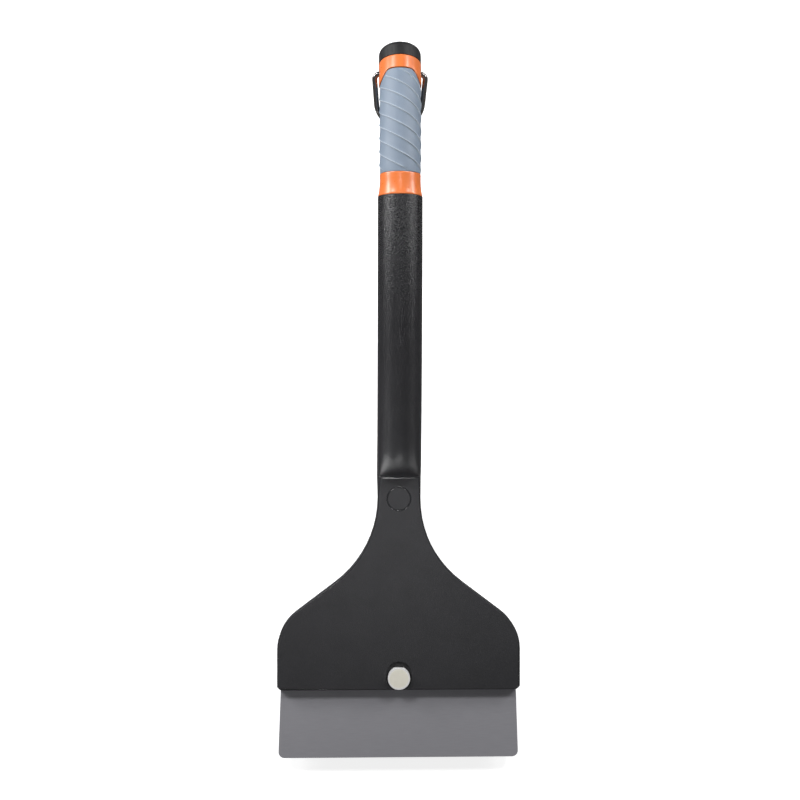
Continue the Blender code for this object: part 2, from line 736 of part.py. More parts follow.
def build_cutters():
    shell_cavity()
    dowel_hole()
    bolt_recess()
    bolt_hole()
    nut_pocket()
    screw_holes("shell", screw_places(), SCREW_LENGTH)
    screw_holes("handle", [(0, HANDLE_SCREW_DISTANCE, 0)], HANDLE_SCREW_LENGTH)


def build_clamp_bolt():
    """The bolt: a round head with one flat on the handle side, rounded at its rim, and a plain shank."""
    under = HEAD_THICKNESS - RECESS_DEPTH + PART_GAP
    top = HEAD_THICKNESS + BOLT_HEAD_RISE
    half_turn = math.acos((BOLT_HEAD_RADIUS - BOLT_FLAT_CUT) / BOLT_HEAD_RADIUS)
    sweep = FULL_TURN - 2 * half_turn
    outline = arc_points(BOLT_HEAD_RADIUS, math.pi / 2 + half_turn, sweep, ROUND_STEPS)
    mesh = slab("clamp_bolt", outline, under, top)
    bolt = node("clamp_bolt", mesh, "bright_steel", (0, BOLT_DISTANCE, 0))
    rounding = bolt.modifiers.new("rim", "BEVEL")
    rounding.width = BOLT_HEAD_ROUNDING
    rounding.segments = BOLT_ROUNDING_STEPS
    rounding.angle_limit = BEVEL_ANGLE
    shank = cylinders("bolt_shank", BOLT_SHANK_RADIUS, PART_GAP, under + BOLT_HEAD_ROUNDING)
    cut(bolt, cutter("bolt_shank", shank, (0, BOLT_DISTANCE, 0)), "UNION")


def build_washer_and_nut():
    place = (0, BOLT_DISTANCE, 0)
    top = NUT_POCKET_DEPTH - PART_GAP
    low = top - WASHER_THICKNESS
    mesh = cylinders("clamp_washer", NUT_POCKET_RADIUS - WASHER_CLEARANCE, low, top)
    washer = node("clamp_washer", mesh, "tube_steel", place)
    cut(washer, bpy.data.objects["bolt_hole"])
    top = low - PART_GAP
    corner_radius = NUT_ACROSS_FLATS / 2 / math.cos(math.pi / NUT_SIDES)
    mesh = cylinders("clamp_nut", corner_radius, top - NUT_THICKNESS, top, steps=NUT_SIDES)
    nut = node("clamp_nut", mesh, "tube_steel", place)
    cut(nut, bpy.data.objects["bolt_hole"])


def screw_profile(name, length):
    """Half the outline of a pan-headed screw whose head is at the bottom, as (height, radius) points."""
    head_top = SCREW_HEAD_SINK - PART_GAP
    head_low = head_top - SCREW_HEAD_THICKNESS
    tip = SCREW_HEAD_SINK + length - PART_GAP
    points = [
        (head_low, 0),
        (head_low, SCREW_HEAD_RADIUS - PART_GAP),
        (head_low + PART_GAP, SCREW_HEAD_RADIUS),
        (head_top, SCREW_HEAD_RADIUS),
        (head_top, SCREW_SHANK_RADIUS),
        (tip - SCREW_SHANK_RADIUS, SCREW_SHANK_RADIUS),
        (tip, 0),
    ]
    mesh = profile_mesh(name, points)
    mesh.transform(Matrix.Rotation(math.pi / 2, 4, "X"))
    return mesh


def build_screws():
    mesh = screw_profile("shell_screw", SCREW_LENGTH)
    for number, place in enumerate(screw_places(), 1):
        screw = node(f"shell_screw_{number}", mesh, "tube_steel", place)
        turn_profile(screw, SMALL_STEPS, "Z")
    mesh = screw_profile("handle_screw", HANDLE_SCREW_LENGTH)
    screw = node("handle_screw", mesh, "tube_steel", (0, HANDLE_SCREW_DISTANCE, 0))
    turn_profile(screw, SMALL_STEPS, "Z")
    bend(screw)


def build_core_tube():
    outer = [(distance, TUBE_RADIUS) for distance in stations_between(TUBE_START, TUBE_END)]
    inner = [(distance, TUBE_RADIUS - TUBE_WALL) for distance, radius in reversed(outer)]
    mesh = profile_mesh("core_tube", outer + inner, closed=True)
    tube = node("core_tube", mesh, "tube_steel", (0, 0, HANDLE_RADIUS))
    turn_profile(tube, HOLE_STEPS)
    cut(tube, bpy.data.objects["dowel_hole"])
    bend(tube)
    mesh = cylinders("tube_dowel", DOWEL_RADIUS, -DOWEL_HALF_LENGTH, DOWEL_HALF_LENGTH)
    dowel = node("tube_dowel", mesh, "bright_steel", (0, dowel_distance(), HANDLE_RADIUS))
    bend(dowel)


def build_lower_collar():
    """The lower collar, flared where it meets the handle and bored out to cover the shells' spigot."""
    start = LOWER_COLLAR_START
    bore = TUBE_RADIUS + PART_GAP
    step = SPIGOT_END + PART_GAP
    profile = [(start + rise, HANDLE_RADIUS - inset) for rise, inset in LOWER_COLLAR_PROFILE]
    profile += [(profile[-1][0], bore), (step, bore)]
    profile += [(step, SPIGOT_RADIUS + PART_GAP), (start, SPIGOT_RADIUS + PART_GAP)]
    mesh = profile_mesh("lower_collar", profile, closed=True)
    collar = node("lower_collar", mesh, "collar_orange", (0, 0, HANDLE_RADIUS))
    turn_profile(collar)
    bend(collar)


def wave(turn):
    """Where the grip ends: farther along at the front and back, nearer at the sides under the ring."""
    from_face = math.acos(min(abs(math.cos(turn)), 1.0))
    return GRIP_FRONT_END - WAVE_DEPTH * smooth_share(from_face, WAVE_START, WAVE_END)


def ring_points(radius, distance_at):
    """A ring of points about the axis, each at the distance given for its own turn."""
    points = []
    for i in range(GRIP_ROUND_STEPS):
        turn = FULL_TURN * i / GRIP_ROUND_STEPS
        points.append((radius * math.sin(turn), distance_at(turn), radius * math.cos(turn)))
    return points


def grip_rows(low):
    """The helical rows of the ribbed skin: how far each lies along the grip at the front, and its rise."""
    pitch = RIB_LEAD / RIB_STARTS
    turns = 2 + int((GRIP_LENGTH + RIB_LEAD) / pitch)
    rows = []
    for k in range(turns):
        for share, height in RIB_SHARES:
            rows.append((low + pitch * (k + share + RIB_FIRST_SHARE), RIB_HEIGHT * height))
    return rows


def rib_fade(distance, low, end):
    """How much of the ribs' height is left near an end of the grip."""
    near = smooth_share(distance, low, low + RIB_RUNOUT)
    return near * (1 - smooth_share(distance, end - RIB_RUNOUT, end))


def ribbed_skin(low):
    """Points and faces of the outer skin, drawn on helical rows so that every rib runs along the mesh.

    A row that would run past an end of the grip stops on that end, where its points merge into one.
    """
    rows = grip_rows(low)
    wrap = len(RIB_SHARES) * RIB_STARTS
    points = []
    found = {}

    def corner(column, row):
        if column == GRIP_ROUND_STEPS:
            column = 0
            row -= wrap
        turn = FULL_TURN * column / GRIP_ROUND_STEPS
        front, rise = rows[max(row, 0)]
        distance = front - RIB_LEAD * turn / FULL_TURN
        end = wave(turn) - PART_GAP / 2
        radius = GRIP_RADIUS + rise * rib_fade(distance, low, end)
        place = row
        if row < 0 or distance <= low:
            place, distance, radius = "low", low, GRIP_RADIUS
        elif distance >= end:
            place, distance, radius = "end", end, GRIP_RADIUS
        if (column, place) not in found:
            found[column, place] = len(points)
            points.append((radius * math.sin(turn), distance, radius * math.cos(turn)))
        return found[column, place]

    faces = []
    for column in range(GRIP_ROUND_STEPS):
        for row in range(len(rows) - 1):
            corners = [corner(column, row), corner(column + 1, row)]
            corners += [corner(column + 1, row + 1), corner(column, row + 1)]
            corners = list(dict.fromkeys(corners))
            if len(corners) > 2:
                faces.append(corners)
    ends = [[found[column, side] for column in range(GRIP_ROUND_STEPS)] for side in ("low", "end")]
    return points, faces, ends


def build_grip():
    """The grip: its ribbed skin closed by a plain bore and two flat ends."""
    low = GRIP_START
    points, faces, (low_ring, end_ring) = ribbed_skin(low)
    radius = TUBE_RADIUS + PART_GAP
    rings = [low_ring]
    stations = stations_between(low, GRIP_FRONT_END)
    for station in stations:
        share = (station - low) / GRIP_LENGTH
        ring = ring_points(radius, lambda turn: low + (wave(turn) - PART_GAP / 2 - low) * share)
        rings.append(list(range(len(points), len(points) + len(ring))))
        points += ring
    rings.append(end_ring)
    for near, far in zip(rings, rings[1:]):
        for i in range(GRIP_ROUND_STEPS):
            j = (i + 1) % GRIP_ROUND_STEPS
            faces.append((near[j], near[i], far[i], far[j]))
    mesh = bpy.data.meshes.new("grip_sleeve")
    mesh.from_pydata(points, [], faces)
    grip = node("grip_sleeve", faced_outward(mesh), "grip_grey", (0, 0, HANDLE_RADIUS))
    bend(grip)


def build_upper_collar():
    """A ring whose lower edge dips at both sides, bored across for the hanging ring's bushes."""
    bore = TUBE_RADIUS + PART_GAP
    edge = CAP_RADIUS - UPPER_COLLAR_LIP_INSET
    lip_end = UPPER_COLLAR_END - UPPER_COLLAR_LIP
    rings = [
        ring_points(edge, lambda turn: wave(turn) + PART_GAP / 2),
        ring_points(CAP_RADIUS, lambda turn: wave(turn) + PART_GAP / 2 + UPPER_COLLAR_LIP),
        ring_points(CAP_RADIUS, lambda turn: lip_end),
        ring_points(edge, lambda turn: UPPER_COLLAR_END),
        ring_points(bore, lambda turn: UPPER_COLLAR_END),
        ring_points(bore, lambda turn: wave(turn) + PART_GAP / 2),
    ]
    mesh = lofted("upper_collar", rings, closed=True)
    collar = node("upper_collar", mesh, "collar_orange", (0, 0, HANDLE_RADIUS))
    side = CAP_RADIUS + OVERRUN
    hole = cylinders("bush_hole", BUSH_RADIUS + PART_GAP, -side, side)
    hole.transform(Matrix.Rotation(math.pi / 2, 4, "Y"))
    cut(collar, cutter("bush_hole", hole, (0, RING_DISTANCE, HANDLE_RADIUS)))
    bend(collar)


def build_end_cap():
    """The domed cap, with a plug that goes down into the tube."""
    plug = TUBE_RADIUS - TUBE_WALL - PART_GAP
    profile = [
        (CAP_PLUG_START, 0),
        (CAP_PLUG_START, plug - CAP_PLUG_LEAD),
        (CAP_PLUG_START + CAP_PLUG_LEAD, plug),
        (CAP_START, plug),
        (CAP_START, CAP_RADIUS),
    ]
    centre = (CAP_RADIUS - CAP_EDGE_RADIUS, CAP_END - CAP_EDGE_RADIUS)
    edge = arc_points(CAP_EDGE_RADIUS, 0, math.pi / 2, CAP_EDGE_STEPS, centre)
    profile += [(distance, radius) for radius, distance in edge]
    profile += [(CAP_END + CAP_DOME, 0)]
    cap = node("end_cap", profile_mesh("end_cap", profile), "cap_black", (0, 0, HANDLE_RADIUS))
    turn_profile(cap)
    bend(cap)


def ring_pivot():
    """The ring's pivot after bending."""
    along, height = centreline_point(RING_DISTANCE)
    return (0, along, HANDLE_RADIUS + height)


def build_bushes():
    """Two bushes that line the collar's cross hole."""
    bore = RING_WIRE_RADIUS + PART_GAP
    outer = CAP_RADIUS - BUSH_INSET
    profile = [(BUSH_INNER, bore), (BUSH_INNER, BUSH_RADIUS), (outer, BUSH_RADIUS), (outer, bore)]
    mesh = profile_mesh("ring_bush", profile, closed=True)
    for name, turn in (("ring_bush_right", -math.pi / 2), ("ring_bush_left", math.pi / 2)):
        bush = node(name, mesh, "bright_steel", ring_pivot())
        bush.rotation_euler = (0, 0, turn)
        turn_profile(bush, SMALL_STEPS)


def ring_loop():
    """Radius of the ring's closing arc and how far its centre lies from the pivot."""
    limb_end = RING_HALF_WIDTH - RING_STRAIGHT * math.tan(RING_TAPER)
    return limb_end / math.cos(RING_TAPER), RING_STRAIGHT - limb_end * math.tan(RING_TAPER)


def ring_path():
    """The wire's centreline: out of one bush, down a tapered limb, round the loop and back."""
    radius, drop = ring_loop()
    corner = (RING_HALF_WIDTH - RING_BEND_RADIUS, -RING_BEND_RADIUS)
    bend_sweep = -math.pi / 2 - RING_TAPER
    loop_sweep = RING_TAPER - math.pi / 2
    half = [(BUSH_INNER + PART_GAP, 0)]
    half += arc_points(RING_BEND_RADIUS, math.pi / 2, bend_sweep, RING_BEND_STEPS, corner)
    half += arc_points(radius, -RING_TAPER, loop_sweep, RING_LOOP_STEPS // 2, (0, -drop))
    return half + [(-x, y) for x, y in reversed(half[:-1])]


def build_hanging_ring():
    """The wire ring, at rest under the grip with its loop on the ground."""
    curve = bpy.data.curves.new("hanging_ring", "CURVE")
    curve.dimensions = "3D"
    path = ring_path()
    spline = curve.splines.new("POLY")
    spline.points.add(len(path) - 1)
    for point, (x, y) in zip(spline.points, path):
        point.co = (x, y, 0, 1)
    curve.bevel_depth = RING_WIRE_RADIUS
    curve.bevel_resolution = RING_WIRE_RESOLUTION
    curve.use_fill_caps = True
    curve.materials.append(finish("dark_steel"))
    ring = bpy.data.objects.new("hanging_ring", curve)
    ring.location = ring_pivot()
    height = ring_pivot()[2] - RING_WIRE_RADIUS - RING_REST_HEIGHT
    ring.rotation_euler = (math.asin(height / sum(ring_loop())), 0, 0)
    PARTS.objects.link(ring)


def stand_on_origin():
    """Moves the tool so that the origin lies under the middle of its bounding box."""
    bpy.context.view_layer.update()
    shapes = bpy.context.evaluated_depsgraph_get()
    corners = []
    for thing in PARTS.objects:
        shape = thing.evaluated_get(shapes)
        mesh = shape.to_mesh()
        corners += [shape.matrix_world @ vertex.co for vertex in mesh.vertices]
        shape.to_mesh_clear()
    lows = [min(corner[axis] for corner in corners) for axis in range(3)]
    highs = [max(corner[axis] for corner in corners) for axis in range(3)]
    middle = Vector(((lows[0] + highs[0]) / 2, (lows[1] + highs[1]) / 2, lows[2]))
    for thing in list(PARTS.objects) + list(CUTTERS.objects):
        thing.location = thing.location - middle


def build():
    build_centreline()
    build_cutters()
    body = body_mesh()
    build_front_shell(body)
    build_back_shell(body.copy())
    build_blade()
    build_clamp_bolt()
    build_washer_and_nut()
    build_screws()
    build_core_tube()
    build_lower_collar()
    build_grip()
    build_upper_collar()
    build_end_cap()
    build_bushes()
    build_hanging_ring()
    for thing in PARTS.objects:
        if thing.type == "MESH":
            smooth(thing)
    stand_on_origin()


empty_scene()
PARTS = new_collection("hand_scraper")
CUTTERS = new_collection("cutters")
build()
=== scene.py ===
"""Looks of a long-handled hand scraper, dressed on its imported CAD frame.

The tool lies on its back on a pale floor, with the blade towards -Y and the hanging ring at +Y.
"""

import json
import math

import bmesh
import bpy
from mathutils import Matrix, Vector


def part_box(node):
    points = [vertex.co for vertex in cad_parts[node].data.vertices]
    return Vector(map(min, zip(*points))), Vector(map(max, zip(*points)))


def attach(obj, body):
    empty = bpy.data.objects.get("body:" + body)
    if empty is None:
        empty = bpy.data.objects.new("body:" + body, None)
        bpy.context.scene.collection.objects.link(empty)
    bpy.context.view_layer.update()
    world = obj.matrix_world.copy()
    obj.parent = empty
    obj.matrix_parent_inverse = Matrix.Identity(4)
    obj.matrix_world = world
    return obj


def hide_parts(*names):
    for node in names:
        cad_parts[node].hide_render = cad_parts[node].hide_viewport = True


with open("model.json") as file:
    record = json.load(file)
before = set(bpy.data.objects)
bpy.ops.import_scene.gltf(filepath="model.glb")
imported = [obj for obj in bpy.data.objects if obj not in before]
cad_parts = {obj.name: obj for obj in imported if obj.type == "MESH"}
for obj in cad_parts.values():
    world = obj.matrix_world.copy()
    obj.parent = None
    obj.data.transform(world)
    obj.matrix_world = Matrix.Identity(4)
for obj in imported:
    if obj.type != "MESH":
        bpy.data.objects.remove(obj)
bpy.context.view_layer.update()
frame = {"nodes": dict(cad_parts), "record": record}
NODES = frame["nodes"]
FULL_TURN = 2 * math.pi
QUARTER_TURN = math.pi / 2

# Camera: above the tool and a little to its left, turned back to it by small angles one after another
IMAGE_PIXELS = 800
VIEW_PLACE = (-0.03266, 0.00804, 1.059)
VIEW_TURNS = (("Y", -0.031875), ("X", -0.005), ("Z", 0.0015))
FOCAL_PIXELS = 1232.17
SENSOR_WIDTH = 36.0

# Floor: pale and glowing to the camera, but dim, so that it throws little light back on the tool
FLOOR_HALF_WIDTH = 4.0
FLOOR_SHADE = 0.80
FLOOR_DIM_SHADE = 0.12
FLOOR_ROUGHNESS = 0.9
FLOOR_GLOW = 0.80
FLOOR_GLOSSY_GLOW = 0.05
SHADOW_DROP = 0.0005
WHITE = (1.0, 1.0, 1.0, 1.0)

# World: its strength on the tool, in reflections and to the camera
WORLD_SHADE = (0.98, 0.99, 1.0)
WORLD_STRENGTH = 0.08
WORLD_GLOSSY_STRENGTH = 0.20
WORLD_CAMERA_STRENGTH = 1.0

# Lamps: name, place, what they aim at, width, length, watts, spread in degrees
TOOL_MIDDLE = (0.0, 0.0, 0.02)
HANDLE_TOP = (0.0, 0.15, 0.03)
HANDLE_TOE = (0.0, -0.042, 0.03)
LAMPS = (
    ("key_left", (-1.20, 1.42, 1.22), TOOL_MIDDLE, 0.45, 0.33, 28.0, 180),
    ("key_right", (1.20, 1.42, 1.22), TOOL_MIDDLE, 0.45, 0.33, 21.5, 180),
    ("top_middle", (-0.03, 0.60, 1.60), HANDLE_TOP, 0.25, 0.30, 0.060, 20),
    ("side_left", (-0.95, 0.62, 0.32), TOOL_MIDDLE, 0.40, 0.22, 10.0, 180),
    ("side_right", (0.95, 0.60, 0.36), TOOL_MIDDLE, 0.40, 0.22, 6.2, 180),
    ("low_front", (-0.15, -0.92, 0.85), HANDLE_TOE, 0.50, 0.12, 0.012, 18),
    ("low_line", (-0.05, -0.92, 0.85), HANDLE_TOE, 0.14, 0.08, 0.038, 16),
    ("low_left", (-0.85, -0.68, 0.20), HANDLE_TOE, 0.20, 0.16, 0.110, 18),
    ("low_right", (0.85, -0.60, 0.20), HANDLE_TOE, 0.20, 0.16, 0.030, 18),
)

# Welding and smoothing of the CAD meshes
WELD = 0.00001
SMOOTH_ANGLE = math.radians(34)

# Where the handle's toe meets the neck plate, over what length the moulding changes there and on the flat
# back, and between which heights the back gives way to the front
TOE_FOOT = -0.0622
TOE_BLEND = 0.0012
BACK_BLEND = 0.0600
BACK_LOW = 0.0030
BACK_HIGH = 0.0105

# Black moulding: tints from dark to pale, and roughness; the handle's darker tints are painted shade
PATCH_SCALE = 45.0
HEAD_TINTS = ((0.0168, 0.0167, 0.0186), (0.0200, 0.0197, 0.0222))
HANDLE_SHADED_TINTS = ((0.0062, 0.0061, 0.0076), (0.0092, 0.0090, 0.0108))
HEAD_ROUGHNESS = (0.46, 0.56)
TOE_ROUGHNESS = (0.33, 0.41)
HANDLE_ROUGHNESS = (0.20, 0.32)

# Its grain: a fine one, and a coarse one on the handle that grows between two places along the tool
GRAIN_DETAIL = 2.0
GRAIN_ROUGHNESS = 0.6
FINE_SCALE = 1300.0
FINE_STRENGTH = 0.40
FINE_DEPTH = 0.0006
COARSE_SCALE = 1150.0
COARSE_STRENGTHS = (0.09, 0.34)
COARSE_DEPTH = 0.0010
COARSE_LOW = 0.02
COARSE_HIGH = 0.15

# Its rounded edges, known by how far their faces look up, are plain and glossy
EDGE_UP_LOW = 0.1
EDGE_UP_HIGH = 0.97
EDGE_ROUGHNESS = 0.15

# Blade: tints, roughness and lengthwise grain
BLADE_TINTS = ((0.302, 0.298, 0.322), (0.342, 0.337, 0.362))
BLADE_METALLIC = 0.35
BLADE_ROUGHNESS = (0.46, 0.58)
BLADE_GRAIN = (90.0, 4.0, 0.6, (1.0, 22.0, 1.0))
BLADE_STRENGTH = 0.12
BLADE_DEPTH = 0.0001

# Clouded finishes: name, metallic, tints from dark to pale, roughness, clouds (scale, detail, roughness,
# stretch) and relief (scale, detail, strength, depth)
CLOUDED = {
    "bright_steel": (
        "bright_steel_plated", 0.35, ((0.84, 0.810, 0.700), (0.91, 0.882, 0.772)), (0.34, 0.46),
        (260.0, 3.0), (1400.0, 3.0, 0.12, 0.0001),
    ),
    "dark_steel": (
        "dark_steel_wire", 1.0, ((0.20, 0.186, 0.182), (0.28, 0.262, 0.256)), (0.12, 0.22),
        (300.0, 3.0), None,
    ),
    "collar_orange": (
        "collar_orange_moulded", 0.0, ((0.68, 0.157, 0.032), (0.72, 0.180, 0.042)), (0.27, 0.36),
        (130.0, 3.0), (900.0, 3.0, 0.10, 0.0002),
    ),
    "grip_grey": (
        "grip_grey_rubber", 0.0, ((0.170, 0.216, 0.279), (0.194, 0.240, 0.305)), (0.50, 0.62),
        (160.0, 4.0), (1600.0, 2.0, 0.18, 0.0003),
    ),
    "cap_black": (
        "cap_black_rubber", 0.0, ((0.003, 0.003, 0.0035), (0.015, 0.0148, 0.0155)), (0.62, 0.42),
        (260.0, 3.0, 0.5, (2.4, 0.35, 0.35)), (1100.0, 3.0, 0.25, 0.0003),
    ),
    "tube_steel": (
        "tube_steel_zinc", 1.0, ((0.44, 0.44, 0.45), (0.58, 0.57, 0.56)), (0.30, 0.48),
        (420.0, 4.0), None,
    ),
}
CAP_SPECULAR = 0.32
# Paler tint on the rib crests: a painted highlight for the light the crests catch
CREST_HIGHLIGHT_TINT = (0.42, 0.48, 0.55)

# Clamp bolt: its plain face and the polished rim outside it, whose paler tint is a painted highlight
BOLT_FACE_RADIUS = 0.0078
BOLT_RIM_RADIUS = 0.0084
BOLT_RIM_HIGHLIGHT_TINT = (0.97, 0.96, 0.95)
BOLT_RIM_ROUGHNESS = 0.25

# Plain round mark in the neck plate
MARK_CENTRE = (-0.0002, -0.0808, 0.0170)
MARK_RADIUS = 0.0099
MARK_LINE_RADIUS = 0.0006
MARK_LINE_SIDES = 12
MARK_STEPS = 96

# Cross recesses in the screw heads
SHELL_SCREWS = ("shell_screw_1", "shell_screw_2", "shell_screw_3", "shell_screw_4", "shell_screw_5")
CROSS_ARMS = 4
CROSS_LENGTH = 0.0042
CROSS_WIDTH = 0.0010
CROSS_DEPTH = 0.0014

# Grip and upper collar: their axis runs level to a point (y, z) and then curls down along an arc.
# Distances along it are from that point
PART_GAP = 0.0003
AXIS_BEND_START = (0.2030189, 0.0328090)
AXIS_BEND_RADIUS = 0.2806024
ROUND_STEPS = 144
TURNS = [FULL_TURN * column / ROUND_STEPS for column in range(ROUND_STEPS)]

# Grip with spiral ribs
GRIP_LOW = -0.0122
GRIP_HIGH = 0.0714
GRIP_RADIUS = 0.0169
GRIP_BORE = 0.0128
BORE_SHARES = (0.0, 0.25, 0.5, 0.75, 1.0)
RIB_HEIGHT = 0.0008
RIB_LEAD = 0.0560
RIB_STARTS = 5
RIB_PITCH = RIB_LEAD / RIB_STARTS
RIB_FIRST_SHARE = -0.72
RIB_RUNOUT = 0.0050
SPARE_RIBS = 2
# Rises of one rib across its pitch: (share of the pitch, share of the height, how pale the crest's painted
# highlight is)
RIB_SHARES = (
    (0.0, 0.0, 0.0),
    (0.02, 0.08, 0.3),
    (0.05, 0.45, 1.0),
    (0.09, 0.95, 1.0),
    (0.115, 1.0, 0.7),
    (0.15, 0.80, 0.0),
    (0.21, 0.56, 0.0),
    (0.35, 0.38, 0.0),
    (0.55, 0.22, 0.0),
    (0.80, 0.07, 0.0),
)

# Upper collar: its lower edge dips at both sides, between two angles from the front or back
WAVE_DEPTH = 0.0086
WAVE_START = math.radians(30)
WAVE_END = math.radians(80)
COLLAR_RADIUS = 0.0178
COLLAR_HIGH = 0.0827
COLLAR_BORE = 0.0128
# Its rounded lips: (share of the lip's length, share of its inset)
LIP_LENGTH = 0.0010
LIP_INSET = 0.0005
LIP_SHARES = ((0.0, 1.0), (0.12, 0.55), (0.4, 0.18), (1.0, 0.0))
# Its cross hole for the ring's bushes
BUSH_HOLE_RADIUS = 0.0039
BUSH_HOLE_LENGTH = 4 * COLLAR_RADIUS
BUSH_HOLE_STEPS = 32

# Hanging ring: its pivot, the slope at which it rests, its wire, and its path in its own plane from one bush
# round to the other
RING_PIVOT = (0.0, 0.276455, 0.023047)
RING_SLOPE = 0.47577
RING_TILT = math.asin(RING_SLOPE)
WIRE_RADIUS = 0.0022
WIRE_SIDES = 24
RING_INNER_END = 0.0131
RING_HALF_WIDTH = 0.0213
RING_STRAIGHT = 0.0254
RING_TAPER = math.radians(4)
RING_BEND_RADIUS = 0.0042
RING_BEND_STEPS = 12
RING_LOOP_STEPS = 24


def add(tree, kind, **settings):
    """A new shader node with some of its properties set."""
    thing = tree.nodes.new("ShaderNode" + kind)
    for key, value in settings.items():
        setattr(thing, key, value)
    return thing


def feed(tree, target, socket, value):
    """Sets an input of a node, from another node's output or a plain value."""
    if isinstance(value, bpy.types.NodeSocket):
        tree.links.new(value, target.inputs[socket])
    else:
        target.inputs[socket].default_value = value


def new_finish(name, metallic=0.0):
    """A new material with its node tree and its shader."""
    finish = bpy.data.materials.new(name)
    finish.use_nodes = True
    shader = finish.node_tree.nodes["Principled BSDF"]
    shader.inputs["Metallic"].default_value = metallic
    return finish, finish.node_tree, shader


def places(tree, stretch=(1.0, 1.0, 1.0)):
    """The object's own coordinates in metres, stretched along its axes."""
    source = add(tree, "TexCoord")
    mapping = add(tree, "Mapping")
    feed(tree, mapping, "Vector", source.outputs["Object"])
    feed(tree, mapping, "Scale", stretch)
    return mapping.outputs["Vector"]


def noise(tree, scale, detail=3.0, roughness=0.5, stretch=(1.0, 1.0, 1.0)):
    """Noise over the object, at a scale in waves per metre."""
    texture = add(tree, "TexNoise")
    feed(tree, texture, "Vector", places(tree, stretch))
    feed(tree, texture, "Scale", scale)
    feed(tree, texture, "Detail", detail)
    feed(tree, texture, "Roughness", roughness)
    return texture.outputs["Fac"]


def spread(tree, value, low, high, start=0.3, end=0.7):
    """Carries a value from one range, by default a noise's usual one, to another."""
    ranger = add(tree, "MapRange")
    feed(tree, ranger, "Value", value)
    feed(tree, ranger, "From Min", start)
    feed(tree, ranger, "From Max", end)
    feed(tree, ranger, "To Min", low)
    feed(tree, ranger, "To Max", high)
    return ranger.outputs["Result"]


def ramp(tree, value, start, end):
    """A mask that grows from 0 to 1 as a value goes from start to end."""
    return spread(tree, value, 0.0, 1.0, start, end)


def blend_colours(tree, share, first, second):
    """A mix of two colours, each a plain tint or another node's output."""
    mixer = add(tree, "Mix", data_type="RGBA")
    feed(tree, mixer, "Factor", share)
    for socket, colour in ((6, first), (7, second)):
        feed(tree, mixer, socket, colour if isinstance(colour, bpy.types.NodeSocket) else (*colour, 1.0))
    return mixer.outputs[2]


def blend_values(tree, share, first, second):
    """A mix of two values, each a plain number or another node's output."""
    mixer = add(tree, "Mix", data_type="FLOAT")
    feed(tree, mixer, 0, share)
    feed(tree, mixer, 2, first)
    feed(tree, mixer, 3, second)
    return mixer.outputs[0]


def combine(tree, operation, first, second):
    """The result of an operation on two values."""
    maths = add(tree, "Math", operation=operation)
    feed(tree, maths, 0, first)
    feed(tree, maths, 1, second)
    return maths.outputs[0]


def part_of_vector(tree, vector, axis):
    """One of the three values of a vector."""
    parts = add(tree, "SeparateXYZ")
    feed(tree, parts, 0, vector)
    return parts.outputs[axis]


def bump(tree, height, strength, distance, under=None):
    """Relief from a height, on top of another relief if there is one."""
    relief = add(tree, "Bump")
    feed(tree, relief, "Height", height)
    feed(tree, relief, "Strength", strength)
    feed(tree, relief, "Distance", distance)
    if under:
        feed(tree, relief, "Normal", under)
    return relief.outputs["Normal"]


def plain_edges(tree, handle):
    """A mask of the rounded edges of the head, which stay free of grain."""
    upward = part_of_vector(tree, add(tree, "NewGeometry").outputs["Normal"], "Z")
    not_flat = combine(tree, "LESS_THAN", upward, EDGE_UP_HIGH)
    not_steep = combine(tree, "GREATER_THAN", upward, EDGE_UP_LOW)
    tilted = combine(tree, "MULTIPLY", not_flat, not_steep)
    return combine(tree, "MULTIPLY", tilted, combine(tree, "SUBTRACT", 1.0, handle))


def moulded_black():
    """Black moulding: coarse spark-eroded grain on the handle, fine on the head, plain rounded edges, and a
    darker tint on the handle that is painted shade.
    """
    finish, tree, shader = new_finish("moulded_black_grained")
    place = places(tree)
    along = part_of_vector(tree, place, "Y")
    toe = ramp(tree, along, TOE_FOOT, TOE_FOOT + TOE_BLEND)
    back = ramp(tree, along, TOE_FOOT, TOE_FOOT + BACK_BLEND)
    front = ramp(tree, part_of_vector(tree, place, "Z"), BACK_LOW, BACK_HIGH)
    handle = blend_values(tree, front, back, toe)
    upper = ramp(tree, along, COARSE_LOW, COARSE_HIGH)
    plain = plain_edges(tree, handle)
    patches = spread(tree, noise(tree, PATCH_SCALE), 0.0, 1.0)
    head_tint = blend_colours(tree, patches, *HEAD_TINTS)
    # The handle's darker tints are painted shade, for the light its rounded faces catch less than the flat
    # head
    handle_shaded_tint = blend_colours(tree, patches, *HANDLE_SHADED_TINTS)
    feed(tree, shader, "Base Color", blend_colours(tree, handle, head_tint, handle_shaded_tint))
    fine = noise(tree, FINE_SCALE, GRAIN_DETAIL, GRAIN_ROUGHNESS)
    fine_strength = combine(tree, "MULTIPLY", combine(tree, "SUBTRACT", 1.0, plain), FINE_STRENGTH)
    relief = bump(tree, fine, fine_strength, FINE_DEPTH)
    coarse = noise(tree, COARSE_SCALE, GRAIN_DETAIL, GRAIN_ROUGHNESS)
    coarse_strength = combine(tree, "MULTIPLY", handle, spread(tree, upper, *COARSE_STRENGTHS, 0.0, 1.0))
    feed(tree, shader, "Normal", bump(tree, coarse, coarse_strength, COARSE_DEPTH, relief))
    toe_rough = spread(tree, coarse, *TOE_ROUGHNESS)
    handle_rough = blend_values(tree, upper, toe_rough, spread(tree, coarse, *HANDLE_ROUGHNESS))
    rough = blend_values(tree, handle, spread(tree, coarse, *HEAD_ROUGHNESS), handle_rough)
    feed(tree, shader, "Roughness", blend_values(tree, plain, rough, EDGE_ROUGHNESS))
    return finish


